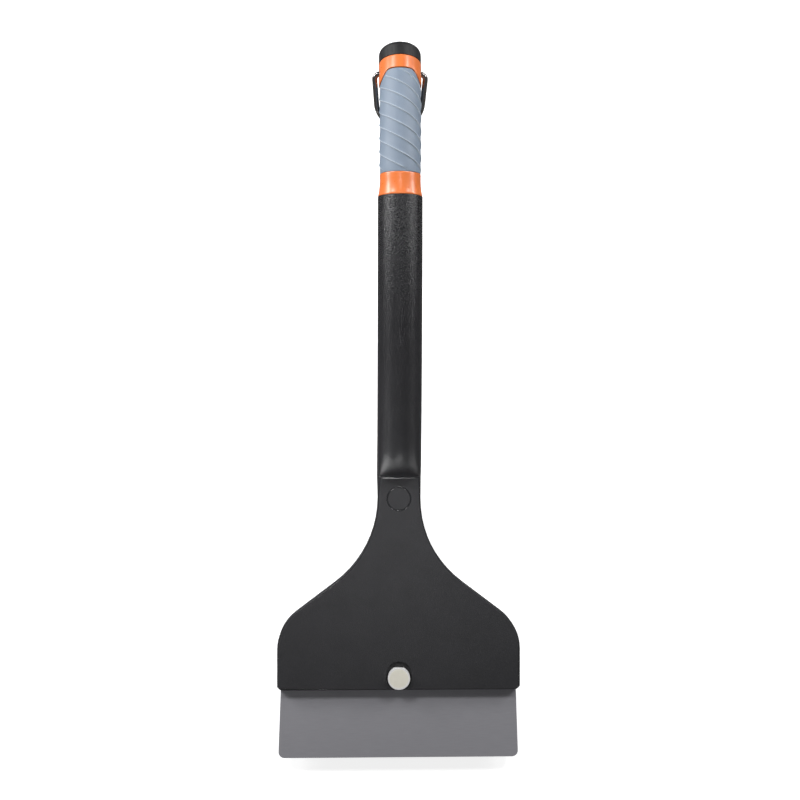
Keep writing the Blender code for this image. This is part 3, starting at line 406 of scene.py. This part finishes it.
def blade_steel():
    """Ground spring steel with a fine lengthwise grain."""
    finish, tree, shader = new_finish("blade_steel_ground", BLADE_METALLIC)
    grain = noise(tree, *BLADE_GRAIN)
    feed(tree, shader, "Base Color", blend_colours(tree, spread(tree, grain, 0.0, 1.0), *BLADE_TINTS))
    feed(tree, shader, "Roughness", spread(tree, grain, *BLADE_ROUGHNESS))
    feed(tree, shader, "Normal", bump(tree, grain, BLADE_STRENGTH, BLADE_DEPTH))
    return finish


def clouded(slot):
    """A finish whose tint and roughness drift with one noise, with its tree, shader, tint and roughness."""
    name, metallic, tints, roughness, clouds, relief = CLOUDED[slot]
    finish, tree, shader = new_finish(name, metallic)
    cloud = noise(tree, *clouds)
    tint = blend_colours(tree, cloud, *tints)
    rough = spread(tree, cloud, *roughness)
    feed(tree, shader, "Base Color", tint)
    feed(tree, shader, "Roughness", rough)
    if relief:
        scale, detail, strength, depth = relief
        feed(tree, shader, "Normal", bump(tree, noise(tree, scale, detail), strength, depth))
    return finish, tree, shader, tint, rough


def bright_steel():
    """Warm nickel plating with faint turning marks, polished outside the bolt's face, where a paler tint
    paints a highlight.
    """
    finish, tree, shader, tint, rough = clouded("bright_steel")
    low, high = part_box("clamp_bolt")
    centre = ((low[0] + high[0]) / 2, low[1] + (high[0] - low[0]) / 2, high[2])
    reach = add(tree, "VectorMath", operation="DISTANCE")
    feed(tree, reach, 0, places(tree))
    feed(tree, reach, 1, centre)
    rim = ramp(tree, reach.outputs["Value"], BOLT_FACE_RADIUS, BOLT_RIM_RADIUS)
    # Paler tint on the rim: a painted highlight; its lower roughness is real polish
    feed(tree, shader, "Base Color", blend_colours(tree, rim, tint, BOLT_RIM_HIGHLIGHT_TINT))
    feed(tree, shader, "Roughness", blend_values(tree, rim, rough, BOLT_RIM_ROUGHNESS))
    return finish


def dark_steel():
    """Dark polished wire."""
    return clouded("dark_steel")[0]


def collar_orange():
    """Smooth orange plastic, half gloss."""
    return clouded("collar_orange")[0]


def grip_grey():
    """Soft blue-grey rubber, with a painted highlight: a paler tint on the crests of the ribs."""
    finish, tree, shader, skin, _ = clouded("grip_grey")
    # This attribute paints a highlight: a paler tint along the rib crests
    crest_highlight = add(tree, "Attribute", attribute_name="crest_highlight").outputs["Fac"]
    feed(tree, shader, "Base Color", blend_colours(tree, crest_highlight, skin, CREST_HIGHLIGHT_TINT))
    return finish


def cap_black():
    """Black rubber with faint streaks along the handle."""
    finish, _, shader, _, _ = clouded("cap_black")
    shader.inputs["Specular IOR Level"].default_value = CAP_SPECULAR
    return finish


def tube_steel():
    """Zinc-plated steel."""
    return clouded("tube_steel")[0]


FINISHES = {
    "moulded_black": moulded_black,
    "blade_steel": blade_steel,
    "bright_steel": bright_steel,
    "dark_steel": dark_steel,
    "collar_orange": collar_orange,
    "grip_grey": grip_grey,
    "cap_black": cap_black,
    "tube_steel": tube_steel,
}


def new_group(name):
    """An empty geometry group with one input and one output."""
    group = bpy.data.node_groups.new(name, "GeometryNodeTree")
    group.interface.new_socket("Geometry", in_out="INPUT", socket_type="NodeSocketGeometry")
    group.interface.new_socket("Geometry", in_out="OUTPUT", socket_type="NodeSocketGeometry")
    return group


def chain(group, things):
    """Links geometry nodes one after another between the group's input and output."""
    last = group.nodes.new("NodeGroupInput")
    for thing in things + [group.nodes.new("NodeGroupOutput")]:
        group.links.new(last.outputs[0], thing.inputs[0])
        last = thing


def weld_group():
    """Joins the CAD mesh's points and drops its flat normals."""
    group = new_group("welded")
    merge = group.nodes.new("GeometryNodeMergeByDistance")
    merge.inputs["Distance"].default_value = WELD
    drop = group.nodes.new("GeometryNodeRemoveAttribute")
    drop.inputs["Name"].default_value = "custom_normal"
    chain(group, [merge, drop])
    return group


def smooth_group():
    """Rounded faces shade smooth, and edges sharper than the limit stay crisp."""
    group = new_group("smoothed")
    faces = group.nodes.new("GeometryNodeSetShadeSmooth")
    faces.domain = "FACE"
    edges = group.nodes.new("GeometryNodeSetShadeSmooth")
    edges.domain = "EDGE"
    angle = group.nodes.new("GeometryNodeInputMeshEdgeAngle")
    limit = group.nodes.new("FunctionNodeCompare")
    limit.operation = "LESS_EQUAL"
    group.links.new(angle.outputs[0], limit.inputs[0])
    limit.inputs[1].default_value = SMOOTH_ANGLE
    group.links.new(limit.outputs[0], edges.inputs["Shade Smooth"])
    chain(group, [faces, edges])
    return group


def add_group(thing, name, group):
    """A geometry group as a modifier."""
    modifier = thing.modifiers.new(name, "NODES")
    modifier.node_group = group


def carve(thing, tool):
    """Cuts a hidden tool out of a piece."""
    boolean = thing.modifiers.new(tool.name, "BOOLEAN")
    boolean.operation = "DIFFERENCE"
    boolean.solver = "EXACT"
    boolean.object = tool


def finish_surface(thing, group):
    """Smooths the surface, with flat faces kept flat beside rounded edges."""
    add_group(thing, "smoothed", group)
    weighted = thing.modifiers.new("weighted", "WEIGHTED_NORMAL")
    weighted.keep_sharp = True


def new_object(name, data):
    """A new object in the scene."""
    thing = bpy.data.objects.new(name, data)
    bpy.context.scene.collection.objects.link(thing)
    return thing


def finished_mesh(shaper, name):
    """A mesh from a finished shape."""
    mesh = bpy.data.meshes.new(name)
    shaper.to_mesh(mesh)
    shaper.free()
    return mesh


def hidden_tool(name, shaper, place):
    """A cutting tool from a finished shape, which no render shows."""
    tool = new_object(name, finished_mesh(shaper, name))
    tool.location = place
    tool.hide_render = True
    tool.display_type = "WIRE"
    return tool


def mark_tool():
    """A thin round tube lying in the neck plate's surface, which cuts a plain engraved circle."""
    shaper = bmesh.new()
    for i in range(MARK_LINE_SIDES):
        turn = FULL_TURN * i / MARK_LINE_SIDES
        reach = MARK_RADIUS + MARK_LINE_RADIUS * math.cos(turn)
        shaper.verts.new((reach, 0, MARK_LINE_RADIUS * math.sin(turn)))
    rim = list(shaper.verts)
    edges = [shaper.edges.new((near, far)) for near, far in zip(rim, rim[1:] + rim[:1])]
    bmesh.ops.spin(
        shaper,
        geom=rim + edges,
        axis=(0, 0, 1),
        cent=(0, 0, 0),
        angle=FULL_TURN,
        steps=MARK_STEPS,
        use_merge=True,
    )
    bmesh.ops.recalc_face_normals(shaper, faces=shaper.faces)
    return hidden_tool("mark_tool", shaper, MARK_CENTRE)


def cross_tool(name, place):
    """A cross-shaped punch at the outer face of a screw head."""
    far, near = CROSS_LENGTH / 2, CROSS_WIDTH / 2
    arm = [(far, -near), (far, near), (near, near)]
    outline = []
    for k in range(CROSS_ARMS):
        turn = Matrix.Rotation(FULL_TURN * k / CROSS_ARMS, 2)
        outline += [turn @ Vector(point) for point in arm]
    shaper = bmesh.new()
    face = shaper.faces.new([shaper.verts.new((x, y, -CROSS_DEPTH)) for x, y in outline])
    raised = bmesh.ops.extrude_face_region(shaper, geom=[face])
    tops = [thing for thing in raised["geom"] if isinstance(thing, bmesh.types.BMVert)]
    bmesh.ops.translate(shaper, verts=tops, vec=(0, 0, 2 * CROSS_DEPTH))
    bmesh.ops.recalc_face_normals(shaper, faces=shaper.faces)
    return hidden_tool(name, shaper, place)


def carve_details():
    """The plain circle in the neck plate and the recesses of the screws behind."""
    carve(NODES["front_shell"], mark_tool())
    for name in SHELL_SCREWS:
        low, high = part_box(name)
        place = ((low[0] + high[0]) / 2, (low[1] + high[1]) / 2, low[2])
        carve(NODES[name], cross_tool(name + "_recess", place))


def smooth_share(value, start, end):
    """How far a value has come from start to end, eased in and out."""
    share = min(max((value - start) / (end - start), 0.0), 1.0)
    return share * share * (3 - 2 * share)


def wave(turn):
    """Where the grip ends: farther along at the front and back, nearer at the sides under the ring."""
    from_face = math.acos(min(abs(math.cos(turn)), 1.0))
    return GRIP_HIGH - WAVE_DEPTH * smooth_share(from_face, WAVE_START, WAVE_END)


def on_axis(turn, distance, radius):
    """A point round the curved axis."""
    across = radius * math.sin(turn)
    up = radius * math.cos(turn)
    y, z = AXIS_BEND_START
    if distance < 0:
        return (across, y + distance, z + up)
    swing = distance / AXIS_BEND_RADIUS
    reach = AXIS_BEND_RADIUS + up
    return (across, y + reach * math.sin(swing), z + reach * math.cos(swing) - AXIS_BEND_RADIUS)


def grip_rows():
    """The skin's helical rows: how far each lies along the grip at the front, its rise and how pale its
    painted crest highlight is.
    """
    ribs = SPARE_RIBS + int((GRIP_HIGH - GRIP_LOW + RIB_LEAD) / RIB_PITCH)
    rows = []
    for k in range(ribs):
        for share, height, pale in RIB_SHARES:
            rows.append((GRIP_LOW + RIB_PITCH * (k + share + RIB_FIRST_SHARE), RIB_HEIGHT * height, pale))
    return rows


def grip_point(rows, column, row):
    """A point of the skin: the name by which it merges with others on an end, how pale its painted crest
    highlight is, its place.
    """
    turn = TURNS[column]
    front, rise, pale = rows[max(row, 0)]
    distance = front - RIB_LEAD * turn / FULL_TURN
    end = wave(turn) - PART_GAP / 2
    fade = smooth_share(distance, GRIP_LOW, GRIP_LOW + RIB_RUNOUT)
    fade *= 1 - smooth_share(distance, end - RIB_RUNOUT, end)
    if row < 0 or distance <= GRIP_LOW:
        return "low", 0.0, on_axis(turn, GRIP_LOW, GRIP_RADIUS)
    if distance >= end:
        return "end", 0.0, on_axis(turn, end, GRIP_RADIUS)
    return row, pale * fade, on_axis(turn, distance, GRIP_RADIUS + rise * fade)


def grip_skin(shaper):
    """The ribbed skin on helical rows, so that every rib runs along the mesh, and its two end rings."""
    rows = grip_rows()
    wrap = len(RIB_SHARES) * RIB_STARTS
    # Each point stores how much painted highlight its rib crest gets
    crest_highlight = shaper.verts.layers.float.new("crest_highlight")
    found = {}

    def corner(column, row):
        if column == ROUND_STEPS:
            column = 0
            row -= wrap
        name, pale, point = grip_point(rows, column, row)
        if (column, name) not in found:
            found[column, name] = shaper.verts.new(point)
            found[column, name][crest_highlight] = pale
        return found[column, name]

    for column in range(ROUND_STEPS):
        for row in range(len(rows) - 1):
            corners = [corner(column, row), corner(column + 1, row)]
            corners += [corner(column + 1, row + 1), corner(column, row + 1)]
            corners = list(dict.fromkeys(corners))
            if len(corners) > 2:
                shaper.faces.new(corners)
    return [[found[column, side] for column in range(ROUND_STEPS)] for side in ("low", "end")]


def ring_of_points(shaper, radius, distances):
    """A ring of points about the curved axis, at one distance along it for each turn."""
    return [shaper.verts.new(on_axis(turn, distance, radius)) for turn, distance in zip(TURNS, distances)]


def skin_rings(shaper, rings):
    """Faces between neighbouring rings of points."""
    for near, far in zip(rings, rings[1:]):
        for i in range(ROUND_STEPS):
            j = (i + 1) % ROUND_STEPS
            shaper.faces.new((near[j], near[i], far[i], far[j]))


def finished_piece(shaper, name, cad_name, body, finish):
    """A new piece from a finished shape, in place of a CAD node of a body."""
    bmesh.ops.recalc_face_normals(shaper, faces=shaper.faces)
    mesh = finished_mesh(shaper, name)
    mesh.materials.append(finish)
    piece = new_object(name, mesh)
    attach(piece, body)
    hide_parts(cad_name)
    return piece


def build_grip(finish):
    """The grip with crisp ribs: its skin closed by a plain bore and two flat ends."""
    shaper = bmesh.new()
    low_ring, end_ring = grip_skin(shaper)
    rings = [low_ring]
    for share in BORE_SHARES:
        distances = [GRIP_LOW + (wave(turn) - PART_GAP / 2 - GRIP_LOW) * share for turn in TURNS]
        rings.append(ring_of_points(shaper, GRIP_BORE, distances))
    skin_rings(shaper, rings + [end_ring])
    grip = finished_piece(shaper, "grip_sleeve_ribbed", "grip_sleeve", "scraper", finish)
    return grip


def build_upper_collar(finish):
    """The upper collar with a smooth wave, rounded lips and the cross hole for the bushes."""
    shaper = bmesh.new()
    rings = [ring_of_points(shaper, COLLAR_BORE, [wave(turn) + PART_GAP / 2 for turn in TURNS])]
    for share, inset in LIP_SHARES:
        rise = PART_GAP / 2 + LIP_LENGTH * share
        radius = COLLAR_RADIUS - LIP_INSET * inset
        rings.append(ring_of_points(shaper, radius, [wave(turn) + rise for turn in TURNS]))
    for share, inset in reversed(LIP_SHARES):
        radius = COLLAR_RADIUS - LIP_INSET * inset
        rings.append(ring_of_points(shaper, radius, [COLLAR_HIGH - LIP_LENGTH * share] * ROUND_STEPS))
    rings.append(ring_of_points(shaper, COLLAR_BORE, [COLLAR_HIGH] * ROUND_STEPS))
    skin_rings(shaper, rings + [rings[0]])
    collar = finished_piece(shaper, "upper_collar_waved", "upper_collar", "scraper", finish)
    carve(collar, bush_hole_tool())
    return collar


def bush_hole_tool():
    """A bar across the collar at the bushes, which cuts the hole that they sit in."""
    low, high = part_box("ring_bush_right")
    shaper = bmesh.new()
    bmesh.ops.create_cone(
        shaper,
        cap_ends=True,
        segments=BUSH_HOLE_STEPS,
        radius1=BUSH_HOLE_RADIUS,
        radius2=BUSH_HOLE_RADIUS,
        depth=BUSH_HOLE_LENGTH,
        matrix=Matrix.Rotation(QUARTER_TURN, 4, "Y"),
    )
    return hidden_tool("bush_hole_tool", shaper, (0, (low[1] + high[1]) / 2, (low[2] + high[2]) / 2))


def arc_points(radius, start, sweep, steps, centre):
    """Points along an arc, both its ends among them."""
    turns = [start + sweep * i / steps for i in range(steps + 1)]
    return [(centre[0] + radius * math.cos(turn), centre[1] + radius * math.sin(turn)) for turn in turns]


def ring_path():
    """The wire's centreline: out of one bush, down a tapered limb, round the loop and back."""
    limb_end = RING_HALF_WIDTH - RING_STRAIGHT * math.tan(RING_TAPER)
    radius = limb_end / math.cos(RING_TAPER)
    drop = RING_STRAIGHT - limb_end * math.tan(RING_TAPER)
    corner = (RING_HALF_WIDTH - RING_BEND_RADIUS, -RING_BEND_RADIUS)
    half = [(RING_INNER_END, 0)]
    half += arc_points(RING_BEND_RADIUS, QUARTER_TURN, -QUARTER_TURN - RING_TAPER, RING_BEND_STEPS, corner)
    half += arc_points(radius, -RING_TAPER, RING_TAPER - QUARTER_TURN, RING_LOOP_STEPS, (0, -drop))
    return half + [(-x, y) for x, y in reversed(half[:-1])]


def wire_section(shaper, path, i):
    """A round section of the wire, square to its path at one of the path's points."""
    here = Vector((*path[i], 0))
    along = Vector((*path[min(i + 1, len(path) - 1)], 0)) - Vector((*path[max(i - 1, 0)], 0))
    across = along.cross(Vector((0, 0, 1))).normalized()
    section = []
    for k in range(WIRE_SIDES):
        turn = FULL_TURN * k / WIRE_SIDES
        height = Vector((0, 0, WIRE_RADIUS * math.sin(turn)))
        section.append(shaper.verts.new(here + across * WIRE_RADIUS * math.cos(turn) + height))
    return section


def build_ring(finish):
    """The hanging ring as a smooth round wire."""
    shaper = bmesh.new()
    path = ring_path()
    sections = [wire_section(shaper, path, i) for i in range(len(path))]
    for near, far in zip(sections, sections[1:]):
        for i in range(WIRE_SIDES):
            j = (i + 1) % WIRE_SIDES
            shaper.faces.new((near[i], near[j], far[j], far[i]))
    shaper.faces.new(sections[0])
    shaper.faces.new(sections[-1])
    turned = Matrix.Translation(RING_PIVOT) @ Matrix.Rotation(RING_TILT, 4, "X")
    bmesh.ops.transform(shaper, matrix=turned, verts=shaper.verts)
    ring = finished_piece(shaper, "hanging_ring_round", "hanging_ring", "ring", finish)
    return ring


def dress_nodes(made):
    """Gives every CAD node the detailed finish of its material slot."""
    for entry in frame["record"]["subparts"]:
        for slot in NODES[entry["node"]].material_slots:
            slot.material = made[entry["material_slot"]]


def build_camera():
    """The camera that matches the photo's view."""
    data = bpy.data.cameras.new("camera")
    data.sensor_width = SENSOR_WIDTH
    data.lens = SENSOR_WIDTH * FOCAL_PIXELS / IMAGE_PIXELS
    camera = new_object("camera", data)
    turned = Matrix.Identity(3)
    for axis, angle in VIEW_TURNS:
        turned = turned @ Matrix.Rotation(angle, 3, axis)
    camera.rotation_euler = turned.to_euler()
    camera.location = VIEW_PLACE
    bpy.context.scene.camera = camera


def glossy_rays(tree):
    """1 for rays that show the background in a reflection or through glass."""
    rays = add(tree, "LightPath")
    return combine(tree, "MAXIMUM", rays.outputs["Is Glossy Ray"], rays.outputs["Is Transmission Ray"])


def floor_finish():
    """Pale floor that shows white to the camera and keeps the tool's shadow, but throws little light up."""
    finish, tree, shader = new_finish("pale_floor")
    camera_rays = add(tree, "LightPath").outputs["Is Camera Ray"]
    dim = (FLOOR_DIM_SHADE, FLOOR_DIM_SHADE, FLOOR_DIM_SHADE)
    pale = (FLOOR_SHADE, FLOOR_SHADE, FLOOR_SHADE)
    feed(tree, shader, "Base Color", blend_colours(tree, camera_rays, dim, pale))
    shader.inputs["Roughness"].default_value = FLOOR_ROUGHNESS
    shader.inputs["Specular IOR Level"].default_value = 0.0
    shader.inputs["Emission Color"].default_value = WHITE
    glow = combine(tree, "MULTIPLY", camera_rays, FLOOR_GLOW)
    glossy_glow = combine(tree, "MULTIPLY", glossy_rays(tree), FLOOR_GLOSSY_GLOW)
    feed(tree, shader, "Emission Strength", combine(tree, "ADD", glow, glossy_glow))
    return finish


def build_stage():
    """The floor, just under the tool."""
    side = FLOOR_HALF_WIDTH
    mesh = bpy.data.meshes.new("floor")
    corners = [(-side, -side, 0), (side, -side, 0), (side, side, 0), (-side, side, 0)]
    mesh.from_pydata(corners, [], [(0, 1, 2, 3)])
    mesh.materials.append(floor_finish())
    floor = new_object("floor", mesh)
    floor.location = (0, 0, -SHADOW_DROP)


def build_world():
    """White background for the camera, weaker in reflections and weakest as light on the tool."""
    world = bpy.data.worlds.new("studio")
    world.use_nodes = True
    tree = world.node_tree
    background = tree.nodes["Background"]
    background.inputs["Color"].default_value = (*WORLD_SHADE, 1.0)
    strength = blend_values(tree, glossy_rays(tree), WORLD_STRENGTH, WORLD_GLOSSY_STRENGTH)
    camera_rays = add(tree, "LightPath").outputs["Is Camera Ray"]
    feed(tree, background, "Strength", blend_values(tree, camera_rays, strength, WORLD_CAMERA_STRENGTH))
    bpy.context.scene.world = world


def aim(thing, target):
    """Turns a lamp to look at a point."""
    direction = Vector(target) - thing.location
    thing.rotation_euler = direction.to_track_quat("-Z", "Y").to_euler()


def build_lamps():
    """Area lamps: open ones for the whole tool, and narrow beams for the streaks on the handle."""
    for name, place, target, width, length, watts, spread_angle in LAMPS:
        data = bpy.data.lights.new(name, "AREA")
        data.shape = "RECTANGLE"
        data.size = width
        data.size_y = length
        data.energy = watts
        data.spread = math.radians(spread_angle)
        lamp = new_object(name, data)
        lamp.location = place
        aim(lamp, target)


def build():
    """The whole scene: camera, stage and light, then the finishes, the cut details and the finer pieces."""
    build_camera()
    build_stage()
    build_world()
    build_lamps()
    made = {name: make() for name, make in FINISHES.items()}
    dress_nodes(made)
    welded = weld_group()
    for node in NODES.values():
        add_group(node, "welded", welded)
    carve_details()
    smoothed = smooth_group()
    for node in NODES.values():
        finish_surface(node, smoothed)
    finish_surface(build_grip(made["grip_grey"]), smoothed)
    finish_surface(build_upper_collar(made["collar_orange"]), smoothed)
    finish_surface(build_ring(made["dark_steel"]), smoothed)
    bpy.context.scene.view_settings.view_transform = "Standard"


build()
